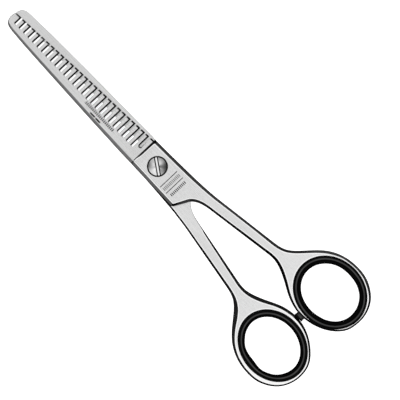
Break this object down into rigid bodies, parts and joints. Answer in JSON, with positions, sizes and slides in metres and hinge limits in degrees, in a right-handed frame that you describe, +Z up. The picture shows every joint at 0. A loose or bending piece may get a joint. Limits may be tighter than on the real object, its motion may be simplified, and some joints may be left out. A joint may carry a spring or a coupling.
{
  "type": "thinning shears",
  "caption": "Hairdresser's thinning shears: a toothed blade and a plain blade crossing at a slotted pivot screw, with soft-lined finger rings and a closing bumper.",
  "frame": {"origin": "where the pivot axis meets the plane the shears lie on, under the plain half's pivot plate", "axes": "+X from the pivot to the blade tips, +Y towards the spine of the comb blade, +Z up through the screw head; the shears are shut at rest"},
  "size_m": [0.1651, 0.0548, 0.0067],
  "materials": {
    "steel_comb": "satin",
    "steel_plain": "satin",
    "screw_steel": "polished",
    "washer_nylon": "matte",
    "insert_rubber": "semi-matte",
    "bumper_rubber": "matte"
  },
  "bodies": {
    "plain": {"plain_half": "steel_plain", "insert_plain": "insert_rubber"},
    "comb": {"comb_half": "steel_comb", "insert_comb": "insert_rubber", "bumper": "bumper_rubber", "pivot_washer": "washer_nylon"},
    "screw": {"pivot_screw": "screw_steel"}
  },
  "joints": [
    {"name": "pivot", "type": "hinge", "parent": "plain", "child": "comb", "pos_m": [0, 0, 0.003], "axis": [0, 0, 1], "range_deg": [0, 138]},
    {"name": "tension_turn", "type": "hinge", "parent": "plain", "child": "screw", "pos_m": [0, 0, 0.003], "axis": [0, 0, 1], "range_deg": [-90, 90]}
  ]
}
